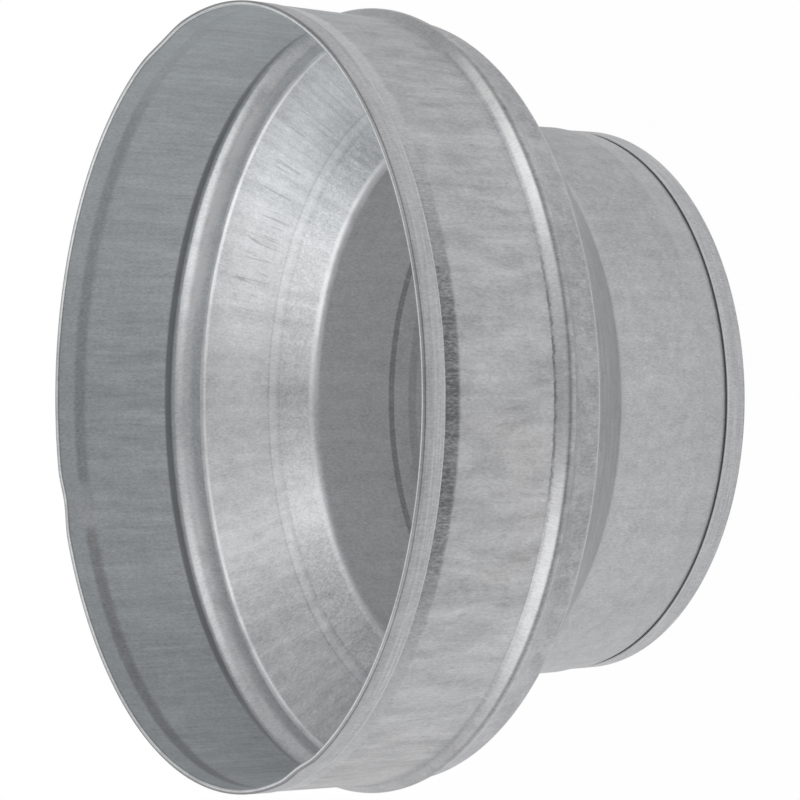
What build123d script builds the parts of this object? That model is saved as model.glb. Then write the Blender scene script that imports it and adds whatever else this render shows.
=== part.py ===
from build123d import *
import math
import os

# Round duct reducer pressed from one galvanised sheet, standing on its narrow end.
# Z is the duct axis: the narrow rim lies on Z = 0 and the wide mouth opens upwards.
# All sizes are millimetres.

# Sheet, and the two spigots measured on the outside of the plain tube
sheet = 0.6
wide_diameter = 198.8
narrow_diameter = 149.2
wide_spigot_length = 35.0
narrow_spigot_length = 39.5

# Stop bead between the wide spigot and the cone: a ramp up, a crown and a fall to a band that leads to the cone
bead_height = 2.3
bead_ramp_length = 2.7
bead_crown_length = 1.4
bead_fall_length = 2.3
band_height = 0.5
band_length = 6.3

# Slope of the cone, from the duct axis
cone_angle = 45.0

# Outward hem on each rim: length of the turned-back flap, and the slit between flap and wall
wide_hem_length = 5.6
narrow_hem_length = 6.2
hem_gap = 0.2

# The wide rim is joggled in by one sheet, so that its hem is nearly flush with the tube
wide_joggle_length = 4.0

# The narrow rim steps down to a land for easy entry, then tucks in under its hem
lead_in_depth = 0.5
lead_in_length = 1.8
land_length = 4.2
narrow_joggle_length = 2.4

# The cone's foot is rolled to this radius, on the outside; the other bends are pressed to a crease
cone_foot_bend = 2.2

# Heights along the axis, from the narrow rim up
narrow_flap_z = narrow_hem_length
land_z = narrow_flap_z + narrow_joggle_length
lead_in_z = land_z + land_length
narrow_tube_z = lead_in_z + lead_in_length
cone_foot_z = narrow_spigot_length
cone_height = (wide_diameter - narrow_diameter) / 2 / math.tan(math.radians(cone_angle))
shoulder_z = cone_foot_z + cone_height
band_z = shoulder_z + band_length
bead_crown_z = band_z + bead_fall_length
bead_ramp_z = bead_crown_z + bead_crown_length
bead_foot_z = bead_ramp_z + bead_ramp_length
mouth_z = bead_foot_z + wide_spigot_length
wide_flap_z = mouth_z - wide_hem_length
wide_tube_z = wide_flap_z - wide_joggle_length

# Radii on the outside of the wall
wide_radius = wide_diameter / 2
narrow_radius = narrow_diameter / 2
bead_radius = wide_radius + bead_height
band_radius = wide_radius + band_height
wide_rim_radius = wide_radius - sheet
land_radius = narrow_radius - lead_in_depth
narrow_rim_radius = land_radius - hem_gap - sheet

# Each hem runs from the bore of its rim to the outside of its flap; the fold's edges are rounded off
hem_width = sheet + hem_gap + sheet
fold_bevel = 2 * sheet / 3

with BuildPart() as reducer_body:
    with BuildSketch(Plane.XZ) as section:
        # Hems: a fold across the end of each rim, and a flap turned back along the outside
        with Locations((wide_rim_radius - sheet, mouth_z)):
            Rectangle(hem_width, sheet, align=(Align.MIN, Align.MAX))
        with Locations((wide_rim_radius + hem_gap, mouth_z)):
            Rectangle(sheet, wide_hem_length, align=(Align.MIN, Align.MAX))
        with Locations((narrow_rim_radius - sheet, 0)):
            Rectangle(hem_width, sheet, align=(Align.MIN, Align.MIN))
        with Locations((narrow_rim_radius + hem_gap, 0)):
            Rectangle(sheet, narrow_hem_length, align=(Align.MIN, Align.MIN))
        corners = section.vertices().group_by(Axis.Y)
        chamfer(corners[0] + corners[-1], fold_bevel)
        # Wall: its outside from the wide fold down to the narrow one, with the sheet laid inside it
        with BuildLine() as wall:
            Polyline(
                (wide_rim_radius, mouth_z - sheet),
                (wide_rim_radius, wide_flap_z),
                (wide_radius, wide_tube_z),
                (wide_radius, bead_foot_z),
                (bead_radius, bead_ramp_z),
                (bead_radius, bead_crown_z),
                (band_radius, band_z),
                (wide_radius, shoulder_z),
                (narrow_radius, cone_foot_z),
                (narrow_radius, narrow_tube_z),
                (land_radius, lead_in_z),
                (land_radius, land_z),
                (narrow_rim_radius, narrow_flap_z),
                (narrow_rim_radius, sheet),
            )
            cone_foot = wall.vertices().sort_by_distance((narrow_radius, cone_foot_z))[0]
            fillet(cone_foot, cone_foot_bend)
            offset(amount=sheet, side=Side.RIGHT, kind=Kind.INTERSECTION)
        make_face()
    revolve(axis=Axis.Z)

reducer_body.part.label = "reducer_body"
os.makedirs("parts", exist_ok=True)
export_step(reducer_body.part, "parts/reducer_body.step")
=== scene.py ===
import math

import bpy
from mathutils import Matrix, Vector


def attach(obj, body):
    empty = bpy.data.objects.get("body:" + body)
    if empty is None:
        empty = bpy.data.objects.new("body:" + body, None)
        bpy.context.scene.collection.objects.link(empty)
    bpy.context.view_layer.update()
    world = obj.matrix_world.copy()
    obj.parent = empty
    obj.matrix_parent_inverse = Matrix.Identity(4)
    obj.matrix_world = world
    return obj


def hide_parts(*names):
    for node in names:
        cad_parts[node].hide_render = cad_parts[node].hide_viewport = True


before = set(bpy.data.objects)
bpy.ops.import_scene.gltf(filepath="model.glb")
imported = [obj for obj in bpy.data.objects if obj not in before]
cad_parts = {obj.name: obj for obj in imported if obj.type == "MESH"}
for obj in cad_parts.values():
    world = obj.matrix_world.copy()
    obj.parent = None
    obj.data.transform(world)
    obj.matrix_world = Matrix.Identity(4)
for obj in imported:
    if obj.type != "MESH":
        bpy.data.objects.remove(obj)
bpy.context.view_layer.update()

mm = 0.001
scene = bpy.context.scene
scene.view_settings.view_transform = "Standard"


# A socket that can be used in sums: each operator adds its Math node.
class Wire:
    def __init__(self, bench, socket):
        self.bench = bench
        self.socket = socket

    def also(self, name):  # another output of the same node
        return Wire(self.bench, self.socket.node.outputs[name])

    def math(self, operation, *others):
        return self.bench.math(operation, self, *others)

    def __add__(self, other):
        return self.bench.math("ADD", self, other)

    def __radd__(self, other):
        return self.bench.math("ADD", other, self)

    def __sub__(self, other):
        return self.bench.math("SUBTRACT", self, other)

    def __rsub__(self, other):
        return self.bench.math("SUBTRACT", other, self)

    def __mul__(self, other):
        return self.bench.math("MULTIPLY", self, other)

    def __rmul__(self, other):
        return self.bench.math("MULTIPLY", other, self)

    def __truediv__(self, other):
        return self.bench.math("DIVIDE", self, other)

    def __rtruediv__(self, other):
        return self.bench.math("DIVIDE", other, self)


# One node tree being wired up, for shapes and for finishes alike.
class Bench:
    def __init__(self, tree):
        self.tree = tree
        tree.nodes.clear()

    def add(self, kind, settings=None, sockets=None, out=0):
        node = self.tree.nodes.new(kind)
        for name, value in (settings or {}).items():
            if name == "cases":
                for _ in range(value - len(node.index_switch_items)):
                    node.index_switch_items.new()
            else:
                setattr(node, name, value)
        for name, value in (sockets or {}).items():
            if isinstance(value, Wire):
                self.tree.links.new(value.socket, node.inputs[name])
            else:
                node.inputs[name].default_value = value
        return Wire(self, node.outputs[out]) if node.outputs else None

    def math(self, operation, *values):
        return self.add("ShaderNodeMath", {"operation": operation}, dict(enumerate(values)))

    def vector(self, x, y, z):
        return self.add("ShaderNodeCombineXYZ", None, {"X": x, "Y": y, "Z": z})

    def split(self, vector):
        parts = self.add("ShaderNodeSeparateXYZ", None, {0: vector})
        return parts, parts.also("Y"), parts.also("Z")

    def ramp(self, value, low, high, start=0.0, end=1.0):  # soft step from start at low to end at high
        return self.add("ShaderNodeMapRange", {"interpolation_type": "SMOOTHSTEP"},
                        {"Value": value, "From Min": low, "From Max": high, "To Min": start, "To Max": end})

    def strip(self, value, low, high, soft):  # 1 between low and high, with soft edges
        return self.ramp(value, low - soft, low + soft) * self.ramp(value, high + soft, high - soft)

    def span(self, value, ends):  # two numbers are a soft step, three a strip and its softness
        return self.strip(value, *ends) if len(ends) == 3 else self.ramp(value, *ends)

    def noise(self, vector, scale, detail, rough, seed=None):  # quicker without a seed
        sockets = {"Vector": vector, "Scale": scale, "Detail": detail, "Roughness": rough}
        if seed is None:
            return self.add("ShaderNodeTexNoise", {"noise_dimensions": "3D"}, sockets)
        return self.add("ShaderNodeTexNoise", {"noise_dimensions": "4D"}, {**sockets, "W": seed})

    def blend(self, share, first, second, way="MIX"):
        return self.add("ShaderNodeMix", {"data_type": "RGBA", "blend_type": way},
                        {0: share, 6: first, 7: second}, out=2)


# Camera: where the photographer stood, with the duct axis lying across the picture
cameraStand = {
    "lens": 106.766,
    "sensor": 36.0,
    "turn": 58.199,  # degrees from the duct axis
    "offset": (47.906, -0.176, 659.49),  # millimetres across, above and ahead, to the foot of the axis
    "clip": (0.01, 50.0),
}


def standCamera(stand):
    turn = math.radians(stand["turn"])
    across = Vector((math.cos(turn), 0, -math.sin(turn)))
    above = Vector((0, 1, 0))
    ahead = Vector((-math.sin(turn), 0, -math.cos(turn)))
    x, y, z = stand["offset"]
    place = -(across * x + above * y + ahead * z) * mm
    data = bpy.data.cameras.new("photoCamera")
    data.sensor_width = stand["sensor"]
    data.lens = stand["lens"]
    data.clip_start, data.clip_end = stand["clip"]
    camera = bpy.data.objects.new("photoCamera", data)
    camera.matrix_world = Matrix((
        (across.x, above.x, -ahead.x, place.x),
        (across.y, above.y, -ahead.y, place.y),
        (across.z, above.z, -ahead.z, place.z),
        (0, 0, 0, 1)))
    scene.collection.objects.link(camera)
    scene.camera = camera


standCamera(cameraStand)
print("camera stands")


# Satin zinc of the galvanised sheet. Lengths are millimetres. A place round the axis is Y on a radius of 100,
# so it goes from 100 at the top of the picture to -100 at the bottom.
# Two numbers are the ends of a soft step, three are the ends of a strip and the softness of its edges.
zincFinish = {
    "light": (0.915, 0.92, 0.938, 1.0),
    "dark": (0.28, 0.282, 0.292, 1.0),
    "cool": (0.945, 1.0, 1.003, 1.0),
    "warm": (1.015, 0.995, 0.985, 1.0),
    # painted highlight, partly on edges rubbed bright
    "paintedHighlight": (0.98, 0.982, 0.987, 1.0),
    # painted shade, and the dark lines along the fold
    "paintedShadeAndFoldLines": (0.10, 0.105, 0.11, 1.0),
    "toneEnds": (-1.0, 2.0),  # tones that are all dark and all light
    "gloss": 0.34,
    "metal": (0.8, 0.65),  # outside and inside
    "grainDepth": 0.012,
    "grainStrength": 0.35,
    # heights of the folds and marks, from the wide rim down
    "zones": {
        "wideHem": (106.2, 106.6),
        "wideHemEdge": (106.3, 106.65, 0.12),
        "joggleHead": (106.6, 106.3),
        "tuckHead": (107.2, 105.6),
        "tuckFoot": (101.6, 103.8),
        "wideTube": (77.0, 103.0, 0.6),
        "wideWall": (76.0, 78.0),
        "groove": (73.7, 77.1, 0.5),
        "grooveAndBand": (64.0, 77.2, 0.6),
        "beadRamp": (74.4, 76.6, 0.5),
        "highlitRamp": (74.4, 76.4, 0.4),
        "bandHead": (70.9, 73.2, 0.4),
        "bandRoll": (68.6, 72.4, 1.3),
        "bandMiddle": (67.0, 69.8, 0.9),
        "bandFoot": (65.4, 68.0, 0.5),
        "band": (64.6, 74.2, 0.4),
        "aboveCone": (63.0, 65.0),
        "shoulder": (63.9, 65.4, 0.2),
        "shoulderLine": (64.1, 64.5, 0.2),
        "cone": (40.5, 64.3, 0.8),
        "coneHead": (58.5, 63.8),
        "scored": (51.8, 60.0, 2.0),
        "upperCone": (50.0, 54.0),
        "nickedCone": (49.0, 51.0),
        "lowerCone": (58.0, 48.0),
        "innerCone": (53.0, 47.0),
        "pressLine": (50.0, 50.3, 0.12),
        "pressRing": (48.6, 49.8, 0.2),
        "pressShade": (47.6, 48.1, 0.25),
        "foot": (39.0, 47.8, 0.6),
        "footBend": (38.8, 41.2, 0.5),
        "narrowBore": (39.3, 37.9),
        "narrowTube": (14.0, 38.0, 1.0),
        "leadIn": (12.9, 14.5, 0.25),
        "hemSlot": (5.88, 6.1, 0.08),
        "narrowHem": (6.0, 5.7),
        "narrowHemEdge": (5.5, 5.9, 0.1),
    },
    # marks along the sheet: sway in X and Y, stretch, then scale, detail, roughness and seed
    "sway": (9.0, (0.07, 2.0, 0.5, 41.0)),
    "drawn": {
        "fineDraw": (0.0, 0.0, 0.08, 0.9, 4.0, 0.6, 3.0),
        "broadDraw": (0.0, 0.0, 0.16, 0.14, 4.0, 0.55, 7.0),
        "grain": (0.0, 0.0, 0.4, 2.4, 2.0, 0.6, 5.0),
        "smears": (1.0, 1.0, 0.3, 0.22, 5.0, 0.62, 13.0),
        "nicks": (1.0, 1.0, 0.16, 1.3, 1.0, 0.5, 17.0),
        "ripples": (0.2, 0.2, 0.04, 0.34, 1.0, 0.5, 37.0),
        "scores": (0.1, 0.0, 0.05, 0.24, 2.0, 0.6, 29.0),
    },
    # marks that lie the same in every direction: scale, detail, roughness and seed
    "spotted": {
        "mottle": (0.3, 4.0, 0.65, 9.0),
        "speckle": (1.3, 3.0, 0.7, 33.0),
        "specks": (1.9, 1.0, 0.5),
        "warmth": (0.045, 2.0, 0.5, 31.0),
        "worn": (0.12, 2.0, 0.6),
        "creaseGaps": (0.5, 1.0, 0.6),
    },
    "rollMarks": (0.02, (2.2, 3.0, 0.6)),  # stretch round the axis, then the pattern
    "nickEdge": (0.7, 0.78),
    "speckEdge": (0.6, 0.8),
    "scoreEdge": (0.014, 0.003),
    # strength of each mark in the tone: all over, then by face, zones and place round the axis
    "strengths": {
        "grain": (2.2, []),
        "speckle": (0.0, [("inside", "foot", None, 1.6), ("inside", "cone", None, 1.2),
                          ("inside", "band", None, 1.6)]),
        "ripples": (0.0, [("inside", "cone", None, 0.4), ("inside", "cone", (0.0, 45.0), 1.0)]),
        "mottle": (0.9, [("outside", "band", None, 1.4), ("either", "cone", None, 0.6),
                         ("outside", "narrowTube", None, 0.6)]),
        "broadDraw": (0.6, [("either", "wideTube", None, 0.6)]),
        "fineDraw": (0.5, [("either", "wideTube", None, 0.5), ("inside", "wideTube", None, 0.6)]),
        "smears": (0.0, [("outside", "wideTube", None, 2.8), ("inside", "cone", None, 0.4),
                         ("inside", "cone", (20.0, -20.0), 1.0)]),
        "rollMarks": (0.0, [("outside", "wideHem", None, 2.2), ("outside", "narrowHem", None, 2.2),
                            ("outside", "cone", None, 3.4)]),
    },
    "specks": [("outside", "narrowTube", None, 0.5), ("inside", "cone", None, 0.5), ("inside", "band", None, 0.5)],
    "nicks": [("outside", "wideTube", None, 0.7), ("inside", "cone nickedCone", None, 0.3)],
    # painted light and shade: places lighter or darker where reflections and shade fall, with a few pressed ring
    # marks: face, zones, place round the axis and how much
    "paintedLightAndShade": [
        ("inside", "wideWall", None, -0.08),
        ("inside", "wideWall", (10.0, 75.0), 0.7),
        ("inside", "bandFoot", (5.0, 40.0), 0.7),
        ("inside", "cone", None, 0.42),
        ("inside", "cone", (84.0, 98.0), 0.6),
        ("inside", "cone", (-40.0, -66.0), -0.75),
        ("inside", "cone coneHead", (-20.0, 25.0), -0.45),
        ("inside", "cone upperCone", (14.0, 34.0, 8.0), 0.35),
        ("inside", "cone lowerCone", (50.0, 85.0), -0.6),
        ("inside", "cone innerCone", (-6.0, 8.0, 8.0), -0.5),
        ("inside", "pressLine", None, -0.4),
        ("inside", "pressRing", None, 0.25),
        ("inside", "pressShade", None, -0.3),
        ("inside", "foot", (-48.0, -20.0, 8.0), 0.4),
        ("inside", "narrowBore", None, -0.58),
        ("inside", "leadIn", None, -0.7),
        ("outside", "wideHem", None, 0.12),
        ("outside", "wideWall", None, 0.15),
        ("outside", "wideWall", (68.0, 92.0), -0.4),
        ("outside", "wideTube", (-78.0, -40.0, 12.0), 0.22),
        ("outside", "beadRamp", (76.0, 90.0), -0.5),
        ("outside", "bandHead", (25.0, 45.0), 0.35),
        ("outside", "bandHead", (-25.0, -45.0), 0.35),
        ("outside", "band", None, -0.55),
        ("outside", "band", (38.0, 62.0), 0.4),
        ("outside", "band", (-38.0, -62.0), 0.4),
        ("outside", "band", (62.0, 82.0, 6.0), -0.4),
        ("outside", "cone", None, -0.5),
        ("outside", "narrowTube", (20.0, 70.0), -0.3),
        ("outside", "narrowHem", None, 0.12),
    ],
    # painted highlights along edges, partly where the tools rubbed them bright
    "paintedShine": [
        ("inside", "shoulder", None, 1.0),
        ("inside", "bandRoll", None, 0.4),
        ("inside", "footBend", None, 1.0),
        ("inside", "footBend", (8.0, -8.0), -0.6),
        ("outside", "wideHemEdge", None, 0.7),
        ("outside", "highlitRamp", None, 0.5),
        ("outside", "highlitRamp", (30.0, 60.0), 0.5),
        ("outside", "highlitRamp", (76.0, 88.0), -0.9),
        ("outside", "highlitRamp", (-12.0, 25.0, 12.0), -0.5),
        ("outside", "highlitRamp", (-30.0, -50.0), -0.12),
        ("outside", "shoulderLine", None, 0.35),
        ("outside", "narrowHemEdge", None, 0.6),
    ],
    "coolness": [
        ("inside", "wideWall", None, 0.15),
        ("inside", "aboveCone", None, 0.65),
        ("inside", "grooveAndBand", (-15.0, -40.0), -0.4),
        ("inside", "cone", (45.0, 70.0), 0.5),
        ("outside", "wideTube", (20.0, 55.0), 0.3),
    ],
    # folded rim, by the length of sheet from its cut edge: a painted highlight along the fold and dark lines beside
    # it
    "foldTurn": (0.08, (20.0, -20.0), 0.22),  # shift, then the side where it is drawn back and how far
    "fold": (5.3, 6.15, 0.1),
    "foldLight": (5.55, 5.87, 0.05),
    "foldDark": (5.05, 5.48, 0.05),
    "foldInner": (6.05, 6.3, 0.06),
    # cut edge of each hem, from its inside to its outside: painted shade on its inner part and a painted highlight on
    # its outer part
    "cutDark": (0.03, 0.5, 0.03),
    "cutLight": (0.55, 0.97, 0.03),
    # painted shade: a broken dark line in the crease at the foot of the bead's ramp
    "crease": (76.75, 77.1, 0.3),
    "creaseWander": (1.6, (0.7, 4.0, 0.75)),
    "creaseRound": (-25.0, 35.0, 25.0),
    "creaseBreak": (0.3, 0.6, 0.4, 1.0),
    # painted shade: a dark strip on the joggle outside, and its trace inside that stops at the side dent
    "joggleFoot": (101.9, 103.3),
    "joggleFray": 0.8,
    "joggleRound": [(34.0, 27.0, 0.4, 1.0), (72.0, 45.0, 0.15, 1.0), (-62.0, -15.0, 0.05, 1.0)],
    "tuckRound": (95.0, 70.0),
    "dentAt": (-95.1, -30.9, 0.0),
    "dentClear": (5.0, 9.0),
    # four numbers are the ends of a step and its levels there
    "grooveRound": (92.0, 75.0, 0.6, 1.0),
    "bandShineRound": (0.0, 30.0, 0.45, 0.9),
    "wear": (0.25, 0.6, 0.5, 1.0),
    "scoreRound": (10.0, 45.0, 0.1, 0.85),
    "scoreSide": (30.0, -10.0, 0.2, 1.0),
    "warmPatches": (0.5, 0.3),
    "warmRound": (25.0, -15.0, 0.3, 1.0),
}


def zincSheet(finish):
    material = bpy.data.materials.new("satinZinc")
    material.use_nodes = True
    bench = Bench(material.node_tree)
    spot = bench.add("ShaderNodeVectorMath", {"operation": "SCALE"},
                     {0: bench.add("ShaderNodeTexCoord", out="Object"), "Scale": 1 / mm})
    x, y, z = bench.split(spot)
    radius = (x * x + y * y).math("SQRT")
    roundX, roundY = x / radius * 100.0, y / radius * 100.0
    offSide = roundY.math("ABSOLUTE")
    run = bench.add("ShaderNodeAttribute", {"attribute_name": "run"}, out="Fac") / mm
    outside = bench.add("ShaderNodeAttribute", {"attribute_name": "outside"}, out="Fac")
    faces = {"outside": outside, "inside": 1 - outside}
    wired = {}

    def zone(face, names, ends=None):  # each zone is wired once
        key = face, names, ends
        if key not in wired:
            if ends:
                wired[key] = zone(face, names) * bench.span(roundY, ends)
            elif " " in names:
                first, last = names.split()
                wired[key] = zone(face, first) * zone("either", last)
            elif face == "either":
                wired[key] = bench.span(z, finish["zones"][names])
            else:
                wired[key] = zone("either", names) * faces[face]
        return wired[key]

    def patches(rows, total=0.0):
        for face, names, ends, level in rows:
            total = total + zone(face, names, ends) * level
        return total

    # draw marks run along the sheet, rolling marks run round it
    reach, pattern = finish["sway"]
    sway = bench.noise(spot, *pattern) * reach
    marks = {name: bench.noise(spot, *pattern) for name, pattern in finish["spotted"].items()}
    for name, (swayX, swayY, stretch, *pattern) in finish["drawn"].items():
        across = roundX + sway * swayX if swayX else roundX
        along = roundY + sway * swayY if swayY else roundY
        marks[name] = bench.noise(bench.vector(across, along, run * stretch), *pattern)
    stretch, pattern = finish["rollMarks"]
    marks["rollMarks"] = bench.noise(bench.vector(roundX * stretch, roundY * stretch, run), *pattern)
    grain, fineDraw, mottle, speckle = (marks[name] for name in ("grain", "fineDraw", "mottle", "speckle"))
    nicks = bench.span(marks["nicks"], finish["nickEdge"])
    specks = bench.span(marks["specks"], finish["speckEdge"])
    scores = bench.span((marks["scores"] - 0.5).math("ABSOLUTE"), finish["scoreEdge"])

    # painted shade on the joggle of the wide rim, strongest at the side that faces the camera
    frayed = z + (grain - 0.5) * finish["joggleFray"]
    joggleZone = bench.span(frayed, finish["joggleFoot"]) * zone("outside", "joggleHead")
    joggleShade = joggleZone
    for step in finish["joggleRound"]:
        joggleShade = joggleShade * bench.ramp(roundY, *step)
    tuckShade = zone("inside", "tuckFoot tuckHead", finish["tuckRound"])
    dentAway = bench.add("ShaderNodeVectorMath", {"operation": "DISTANCE"},
                         {0: bench.vector(roundX, roundY, 0.0), 1: finish["dentAt"]}, out="Value")

    # painted shade in the crease and the inner groove, lines along the fold, and painted shade and highlight on the
    # cut edges
    wander, pattern = finish["creaseWander"]
    creaseZ = z + (bench.noise(bench.vector(roundX, roundY, 0.0), *pattern) - 0.5) * wander
    crease = bench.span(creaseZ, finish["crease"]) * outside * bench.span(roundY, finish["creaseRound"])
    crease = crease * bench.ramp(marks["creaseGaps"], *finish["creaseBreak"])
    groove = zone("inside", "groove") * bench.ramp(offSide, *finish["grooveRound"])
    shift, turn, slide = finish["foldTurn"]
    foldRun = run + shift - bench.span(roundX, turn) * slide
    foldEdge = bench.span(foldRun, finish["foldDark"]) + bench.span(run, finish["foldInner"]) * 0.6
    cutDark, cutLight = bench.span(outside, finish["cutDark"]), bench.span(outside, finish["cutLight"])

    # painted highlights on edges partly rubbed bright, on the fold and on the cut edges, worn unevenly
    # painted highlight inside the bead's band, above and below, stronger on the upper side
    bandShine = bench.ramp(offSide, 12.0, 40.0) * bench.ramp(offSide, 95.0, 75.0)
    bandShine = bandShine * bench.ramp(roundY, *finish["bandShineRound"])
    bright = patches(finish["paintedShine"], bench.span(foldRun, finish["foldLight"]) * 0.9 + cutLight * 0.8)
    bright = bright + zone("inside", "bandRoll") * speckle + zone("inside", "bandMiddle") * bandShine
    bright = bright * bench.ramp(marks["worn"], *finish["wear"]) * (0.4 + grain * 1.2)

    # tone: 0 is dull zinc and 1 is light zinc, with the painted light and shade laid into it
    tone = patches(finish["paintedLightAndShade"], 0.5 + specks * patches(finish["specks"]) - nicks * patches(finish["nicks"]))
    for name, (everywhere, rows) in finish["strengths"].items():
        tone = tone + (marks[name] - 0.5) * patches(rows, everywhere)
    # painted light on the joggle above and below the middle, and painted shade strongest across the middle
    tone = tone + joggleZone * (bench.ramp(offSide, 35.0, 65.0) * 0.7 + bench.ramp(roundY, 36.0, 50.0) * 0.35
                                + bench.strip(roundY, 12.0, 42.0, 6.0) * 0.28)
    tone = tone - joggleShade * (1.05 - (grain - 0.5) * 3.0 - (fineDraw - 0.5) * 2.6)
    # painted shade on the joggle's trace inside, and a darker fold
    tone = tone - tuckShade * bench.span(dentAway, finish["dentClear"]) * 0.85 - bench.span(run, finish["fold"]) * 0.35
    scored = bench.ramp(roundY, *finish["scoreRound"]) * bench.ramp(roundX, *finish["scoreSide"])
    tone = tone - scores * zone("inside", "scored") * scored

    # colour: zinc by its tone, then the tints, the painted highlights on the partly rubbed edges, and the painted
    # shade with the dark lines along the fold
    darkest, lightest = finish["toneEnds"]
    share = bench.add("ShaderNodeMapRange", None, {"Value": tone, "From Min": darkest, "From Max": lightest})
    colour = bench.blend(share, finish["dark"], finish["light"])
    cool = patches(finish["coolness"], joggleShade * bench.ramp(roundY, 30.0, -10.0) * 0.45)
    cool = cool + tuckShade * (0.15 - bench.ramp(roundY, -15.0, -35.0) * 0.6)
    colour = bench.blend(cool, colour, finish["cool"], "MULTIPLY")
    warm = bench.span(marks["warmth"], finish["warmPatches"]) * bench.ramp(roundY, *finish["warmRound"])
    colour = bench.blend(warm * zone("outside", "wideTube"), colour, finish["warm"], "MULTIPLY")
    colour = bench.blend(bright * 0.8, colour, finish["paintedHighlight"])
    # painted shade in the crease, the inner groove, the hem's slot and on the inner part of the cut edges, with dark
    # lines along the fold
    paintedShadeAndFoldLines = crease * 0.9 + groove * 0.55 + foldEdge * 0.55 + zone("outside", "hemSlot") * 0.5 + cutDark * 0.8
    colour = bench.blend(paintedShadeAndFoldLines, colour, finish["paintedShadeAndFoldLines"])

    rough = finish["gloss"] + (mottle - 0.5) * 0.1 + (grain - 0.5) * 0.12
    rough = rough + crease * 0.2 + zone("inside", "wideWall") * 0.08
    metalOut, metalIn = finish["metal"]
    metal = metalIn + outside * (metalOut - metalIn)
    bump = bench.add("ShaderNodeBump", None, {"Strength": finish["grainStrength"], "Height": (grain + fineDraw) * 0.5,
                                              "Distance": finish["grainDepth"] * mm})
    shader = bench.add("ShaderNodeBsdfPrincipled", None,
                       {"Base Color": colour, "Metallic": metal, "Roughness": rough, "Normal": bump})
    bench.add("ShaderNodeOutputMaterial", None, {"Surface": shader})
    return material


# Reducer: the middle line of the sheet from the cut edge of the wide hem down to that of the narrow one.
# Radii and heights are millimetres, angles are degrees round the axis.
reducerForm = {
    "Sheet": 0.6,
    "Hem Gap": 0.2,
    "Wide Tube": 99.1,
    "Wide Rim": 98.5,
    "Bead": 101.36,
    "Narrow Tube": 74.3,
    "Land": 73.8,
    "Narrow Rim": 73.0,
    "Mouth": 112.0,
    "Wide Hem Edge": 106.4,
    "Wide Joggle": 102.4,
    "Bead Foot": 77.0,
    "Crown Top": 74.19,
    "Crown Low": 72.9,
    "Heel": 99.6,
    "Heel Height": 70.6,
    "Shoulder": 64.45,
    "Cone Foot": 39.62,
    "Lead In Top": 14.6,
    "Lead In Low": 12.8,
    "Tuck": 7.8,
    "Tuck Low": 5.4,
    "Narrow Hem Edge": 5.85,
    "Fold Bend": 0.4,
    "Joggle Bend": 5.0,
    "Crease Bend": 0.5,
    "Crown Bend": 2.4,
    "Heel Bend": 7.9,
    "Shoulder Bend": 1.9,
    "Foot Bend": 3.8,
    "Step Bend": 1.2,
    "Longest Step": 4.0,
    "Wobble": 0.05,
    "Wobble Scale": 35.0,
    "Crease Wobble": 0.24,
    "Crease Scale": 190.0,
    "Crease Low": 74.5,
    "Crease High": 76.8,
    "Crease Soft": 0.8,
    "Bruise Foot": 98.0,
    "Bruise Head": 110.0,
    "Side Dent": 1.6,
    "Side Dent Width": 6.5,
    "Side Dent Angle": 198.0,
    "Upper Dent": 0.6,
    "Upper Dent Width": 8.6,
    "Upper Dent Angle": 108.0,
    "Lower Dent": 0.6,
    "Lower Dent Width": 6.0,
    "Lower Dent Angle": 296.0,
    "Mouth Shift": 0.83,
    "Narrow Shift": 0.33,
    "Around": 400,
    "Bend Steps": 5,
    "Seed": 4,
}
plainInputs = ("Around", "Bend Steps", "Seed", "Wobble Scale", "Crease Scale",
               "Side Dent Angle", "Upper Dent Angle", "Lower Dent Angle")  # these aren't lengths
sharpAngle = 50.0  # degrees: edges that turn more than this stay crisp
slack = 0.1 * mm  # past the end of a hem's flap


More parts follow.
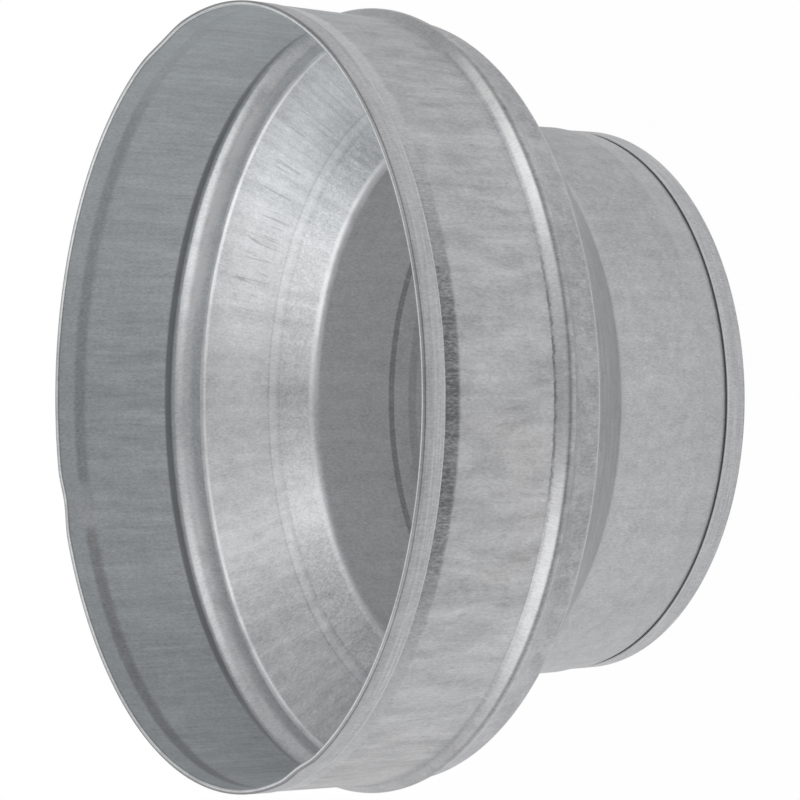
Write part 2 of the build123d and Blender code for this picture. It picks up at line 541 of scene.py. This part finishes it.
def reducerTree(form, material):
    tree = bpy.data.node_groups.new("foldedReducer", "GeometryNodeTree")
    tree.interface.new_socket("Geometry", in_out="INPUT", socket_type="NodeSocketGeometry")
    for name, value in form.items():
        kind = "NodeSocketInt" if isinstance(value, int) else "NodeSocketFloat"
        tree.interface.new_socket(name, in_out="INPUT", socket_type=kind)
    tree.interface.new_socket("Geometry", in_out="OUTPUT", socket_type="NodeSocketGeometry")
    bench = Bench(tree)
    given = bench.add("NodeGroupInput")
    size = {name: given.also(name) for name in form}
    half = size["Sheet"] * 0.5
    step = size["Sheet"] + size["Hem Gap"]

    # corners of the middle line: radius, height and the radius of the bend there
    corners = [
        (size["Wide Rim"] + step, size["Wide Hem Edge"], 0.0),
        (size["Wide Rim"] + step, size["Mouth"] - half, size["Fold Bend"]),
        (size["Wide Rim"], size["Mouth"] - half, size["Fold Bend"]),
        (size["Wide Rim"], size["Wide Hem Edge"], size["Joggle Bend"]),
        (size["Wide Tube"], size["Wide Joggle"], size["Joggle Bend"]),
        (size["Wide Tube"], size["Bead Foot"], size["Crease Bend"]),
        (size["Bead"], size["Crown Top"], size["Crown Bend"]),
        (size["Bead"], size["Crown Low"], size["Crown Bend"]),
        (size["Heel"], size["Heel Height"], size["Heel Bend"]),
        (size["Wide Tube"], size["Shoulder"], size["Shoulder Bend"]),
        (size["Narrow Tube"], size["Cone Foot"], size["Foot Bend"]),
        (size["Narrow Tube"], size["Lead In Top"], size["Step Bend"]),
        (size["Land"], size["Lead In Low"], size["Step Bend"]),
        (size["Land"], size["Tuck"], size["Step Bend"]),
        (size["Narrow Rim"], size["Tuck Low"], size["Step Bend"]),
        (size["Narrow Rim"], half, size["Fold Bend"]),
        (size["Land"], half, size["Fold Bend"]),
        (size["Land"], size["Narrow Hem Edge"], 0.0),
    ]
    index = bench.add("GeometryNodeInputIndex")
    corner = bench.add("GeometryNodeIndexSwitch", {"data_type": "VECTOR", "cases": len(corners)},
                       {0: index, **{i + 1: bench.vector(r, b, h) for i, (r, h, b) in enumerate(corners)}})
    cornerR, cornerBend, cornerZ = bench.split(corner)
    line = bench.add("GeometryNodeMeshLine", {"mode": "OFFSET"}, {"Count": len(corners)})
    line = bench.add("GeometryNodeStoreNamedAttribute", {"data_type": "FLOAT", "domain": "POINT"},
                     {"Geometry": line, "Name": "bend", "Value": cornerBend})
    line = bench.add("GeometryNodeSetPosition", None,
                     {"Geometry": line, "Position": bench.vector(cornerR, 0.0, cornerZ)})
    line = bench.add("GeometryNodeMeshToCurve", None, {"Mesh": line})
    bend = bench.add("GeometryNodeInputNamedAttribute", {"data_type": "FLOAT"}, {"Name": "bend"})
    line = bench.add("GeometryNodeFilletCurve", {"mode": "POLY"},
                     {"Curve": line, "Count": size["Bend Steps"], "Radius": bend, "Limit Radius": True})

    # long straight runs are divided, so that dents and wobble have points to move
    here = bench.add("GeometryNodeInputPosition")
    ahead = bench.add("GeometryNodeFieldAtIndex", {"data_type": "FLOAT_VECTOR", "domain": "POINT"},
                      {"Index": index + 1, "Value": here})
    gap = bench.add("ShaderNodeVectorMath", {"operation": "DISTANCE"}, {0: here, 1: ahead}, out="Value")
    line = bench.add("GeometryNodeSubdivideCurve", None,
                     {"Curve": line, "Cuts": (gap / size["Longest Step"]).math("FLOOR").math("MINIMUM", 40.0)})

    # a grid takes both faces of the sheet round the axis: down the outer face and back up the inner one
    count = bench.add("GeometryNodeAttributeDomainSize", {"component": "CURVE"}, {"Geometry": line})
    rows = count * 2
    around = size["Around"]
    grid = bench.add("GeometryNodeMeshGrid", None, {"Vertices X": around + 1, "Vertices Y": rows + 1})
    uv = grid.also("UV Map")
    column = ((index + 0.5) / (rows + 1)).math("FLOOR")
    row = index - column * (rows + 1)
    row = row - rows * row.math("GREATER_THAN", rows - 0.5)
    inner = row.math("GREATER_THAN", count - 0.5)
    side = 1 - 2 * inner
    place = row * (1 - inner) + (rows - 1 - row) * inner

    def onLine(value, kind):
        return bench.add("GeometryNodeSampleIndex", {"data_type": kind, "domain": "POINT"},
                         {"Geometry": line, "Value": value, "Index": place})

    middleR, _, middleZ = bench.split(onLine(here, "FLOAT_VECTOR"))
    alongR, _, alongZ = bench.split(onLine(bench.add("GeometryNodeInputTangent"), "FLOAT_VECTOR"))
    run = onLine(bench.add("GeometryNodeSplineParameter", out="Length"), "FLOAT")
    length = bench.add("GeometryNodeCurveLength", None, {"Curve": line})
    radius = middleR - side * half * alongZ
    height = middleZ + side * half * alongR
    flap = run.math("LESS_THAN", size["Mouth"] - size["Wide Hem Edge"] + slack)
    flap = flap + run.math("GREATER_THAN", length - size["Narrow Hem Edge"] - slack)
    outside = 0.5 + 0.5 * side * (1 - 2 * flap)

    angle = column * (2 * math.pi) / around
    east, north = angle.math("COSINE"), angle.math("SINE")

    # knocks on the wide rim fade out below it
    bruised = bench.ramp(height, size["Bruise Foot"], size["Bruise Head"])
    for dent in ("Side Dent", "Upper Dent", "Lower Dent"):
        away = (angle - size[dent + " Angle"].math("RADIANS")).math("ABSOLUTE") * size["Wide Rim"]
        radius = radius - size[dent] * bruised * bench.ramp(away, size[dent + " Width"] * 1.6, 0.0)

    # the drawn wall is a little wavy, more so along the ramp of the bead
    skin = bench.vector(east * 0.1, north * 0.1, middleZ)
    slow = bench.noise(skin, size["Wobble Scale"], 1.0, 0.5, size["Seed"]) - 0.5
    quick = bench.noise(skin, size["Crease Scale"], 2.0, 0.5, size["Seed"] + 1) - 0.5
    ramp = bench.strip(middleZ, size["Crease Low"], size["Crease High"], size["Crease Soft"])
    radius = radius + slow * size["Wobble"] + (quick - 0.25) * ramp * size["Crease Wobble"]

    # both spigots lean a little, so that their rims sit to one side of the bead
    wideLean = ((height - size["Bead Foot"]) / (size["Mouth"] - size["Bead Foot"])).math("MAXIMUM", 0.0)
    narrowLean = (1 - height / size["Cone Foot"]).math("MAXIMUM", 0.0)
    lean = wideLean * size["Mouth Shift"] + narrowLean * size["Narrow Shift"]
    spot = bench.vector(radius * east, radius * north + lean, height)

    shell = bench.add("GeometryNodeStoreNamedAttribute", {"data_type": "FLOAT2", "domain": "CORNER"},
                      {"Geometry": grid, "Name": "sheetMap", "Value": uv})
    shell = bench.add("GeometryNodeStoreNamedAttribute", {"data_type": "FLOAT", "domain": "POINT"},
                      {"Geometry": shell, "Name": "run", "Value": run})
    shell = bench.add("GeometryNodeStoreNamedAttribute", {"data_type": "FLOAT", "domain": "POINT"},
                      {"Geometry": shell, "Name": "outside", "Value": outside})
    shell = bench.add("GeometryNodeSetPosition", None, {"Geometry": shell, "Position": spot})
    shell = bench.add("GeometryNodeMergeByDistance", None, {"Geometry": shell, "Distance": 0.000001})
    shell = bench.add("GeometryNodeFlipFaces", None, {"Mesh": shell})
    shell = bench.add("GeometryNodeSetShadeSmooth", None, {"Geometry": shell, "Shade Smooth": True})
    shell = bench.add("GeometryNodeRealizeInstances", None, {"Geometry": shell})
    shell = bench.add("GeometryNodeSetMaterial", None, {"Geometry": shell, "Material": material})
    bench.add("NodeGroupOutput", None, {"Geometry": shell})
    return tree


def foldReducer(form, material):
    tree = reducerTree(form, material)
    body = bpy.data.objects.new("reducerBody", bpy.data.meshes.new("reducerBody"))
    scene.collection.objects.link(body)
    folding = body.modifiers.new("folding", "NODES")
    folding.node_group = tree
    for item in tree.interface.items_tree:
        if item.in_out == "INPUT" and item.name in form:
            value = form[item.name]
            folding[item.identifier] = value if item.name in plainInputs else value * mm
    depsgraph = bpy.context.evaluated_depsgraph_get()
    mesh = bpy.data.meshes.new_from_object(body.evaluated_get(depsgraph), preserve_all_data_layers=True,
                                           depsgraph=depsgraph)
    body.modifiers.remove(folding)
    body.data = mesh
    mesh.name = "reducerBody"
    mesh.set_sharp_from_angle(angle=math.radians(sharpAngle))
    return body


satinZinc = zincSheet(zincFinish)
print("zinc mixed")
reducerBody = foldReducer(reducerForm, satinZinc)
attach(reducerBody, "root")
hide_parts("reducer_body")
print("reducer folded:", len(reducerBody.data.vertices), "points,", len(reducerBody.data.polygons), "faces")


# Shooting table: a pale round top that runs out into the white behind it. Seen in the zinc it glows unevenly, near
# the reducer and under the narrow bore: painted reflections.
tableTop = {
    "radius": 0.36,
    "sides": 128,
    "colour": (0.82, 0.82, 0.82, 1.0),
    "white": 0.98,
    "fade": (0.55, 0.98),  # shares of the radius between which it turns all white
    "paintedShine": 0.45,
    "shineEnds": (0.12, 0.24),
    "shineSide": (-0.12, 0.0, 0.3, 1.0),
    # painted reflections: the glow that the narrow bore shows of the table
    "bore": (0.0745, 0.0725),  # what the narrow bore shows of the table
    "boreAcross": (-0.005, 0.045, 0.2, 0.62),
    "boreAside": (0.03, 0.07, 0.0, 0.6),
}


def layTable(table):
    material = bpy.data.materials.new("paleTable")
    material.use_nodes = True
    bench = Bench(material.node_tree)
    x, y, _ = bench.split(bench.add("ShaderNodeTexCoord", out="Object"))
    radius = (x * x + y * y).math("SQRT")
    path = bench.add("ShaderNodeLightPath")
    seen = path.math("MAXIMUM", path.also("Is Transmission Ray"))
    edge = bench.span(radius / table["radius"], table["fade"])
    share = seen * (table["white"] + edge * (1 - table["white"]))
    # painted reflections: glossy rays see a glow in the narrow bore and near the reducer, less on one side
    bore = bench.span(radius, table["bore"])
    deep = bench.ramp(x, *table["boreAcross"]) + bench.ramp(y.math("ABSOLUTE"), *table["boreAside"])
    near = bench.ramp(radius, *table["shineEnds"], table["paintedShine"], 0.0)
    near = near * bench.ramp(x - y * 0.6, *table["shineSide"])
    paintedShine = bore * deep + (1 - bore) * near
    share = share + path.also("Is Glossy Ray") * paintedShine
    paper = bench.add("ShaderNodeBsdfDiffuse", None, {"Color": table["colour"]})
    glow = bench.add("ShaderNodeEmission", None, {"Color": (1, 1, 1, 1), "Strength": 1.0})
    mixed = bench.add("ShaderNodeMixShader", None, {0: share, 1: paper, 2: glow})
    bench.add("ShaderNodeOutputMaterial", None, {"Surface": mixed})
    sides = table["sides"]
    points = [(0, 0, 0)] + [(table["radius"] * math.cos(2 * math.pi * i / sides),
                             table["radius"] * math.sin(2 * math.pi * i / sides), 0) for i in range(sides)]
    faces = [(0, i + 1, (i + 1) % sides + 1) for i in range(sides)]
    mesh = bpy.data.meshes.new("paleTable")
    mesh.from_pydata(points, [], faces)
    mesh.materials.append(material)
    top = bpy.data.objects.new("paleTable", mesh)
    scene.collection.objects.link(top)


# Studio: white behind the reducer, a soft box on each side of it and a dimmer room by the camera.
# A glow is a direction, the spread where it starts and is full, and its level.
studio = {
    "room": 0.327,
    "sides": 0.33,
    "sideSpan": (0.02, 0.32),
    "sideRise": (0.15, 0.6),
    "glows": [
        ((-1.0, 0.0, 0.1), 0.0, 0.8, 0.22),
        ((0.0, 0.0, 1.0), 0.55, 1.0, 0.22),
        ((0.96, -0.08, -0.2), 0.78, 0.97, -0.12),
    ],
    "boxes": [
        {"name": "upperBox", "at": (0.25, 0.5, 0.575), "facing": (0, -1, 0), "size": (0.5, 0.65), "level": 0.46},
        {"name": "lowerBox", "at": (0.35, -0.5, 0.61), "facing": (0, 1, 0), "size": (1.1, 0.68), "level": 0.56},
    ],
}


def lightStudio(studio):
    world = bpy.data.worlds.new("softStudio")
    world.use_nodes = True
    scene.world = world
    bench = Bench(world.node_tree)
    direction = bench.add("ShaderNodeTexCoord", out="Generated")
    _, across, above = bench.split(direction)
    aside = bench.span(across.math("ABSOLUTE"), studio["sideSpan"]) * bench.span(above, studio["sideRise"])
    level = studio["room"] + aside * studio["sides"]
    for toward, start, full, gain in studio["glows"]:
        unit = Vector(toward).normalized()
        facing = bench.add("ShaderNodeVectorMath", {"operation": "DOT_PRODUCT"},
                           {0: direction, 1: tuple(unit)}, out="Value")
        level = level + bench.ramp(facing, start, full) * gain
    path = bench.add("ShaderNodeLightPath")
    seen = path.math("MAXIMUM", path.also("Is Transmission Ray"))
    strength = level * (1 - seen) + seen
    light = bench.add("ShaderNodeBackground", None, {"Color": (1, 1, 1, 1), "Strength": strength})
    bench.add("ShaderNodeOutputWorld", None, {"Surface": light})
    for box in studio["boxes"]:
        lamp = bpy.data.lights.new(box["name"], "AREA")
        lamp.shape = "RECTANGLE"
        lamp.size, lamp.size_y = box["size"]
        lamp.energy = box["level"] * 4 * lamp.size * lamp.size_y
        holder = bpy.data.objects.new(box["name"], lamp)
        holder.location = box["at"]
        holder.rotation_euler = Vector(box["facing"]).to_track_quat("-Z", "Y").to_euler()
        holder.visible_camera = False
        scene.collection.objects.link(holder)


layTable(tableTop)
lightStudio(studio)
print("table and studio light set")
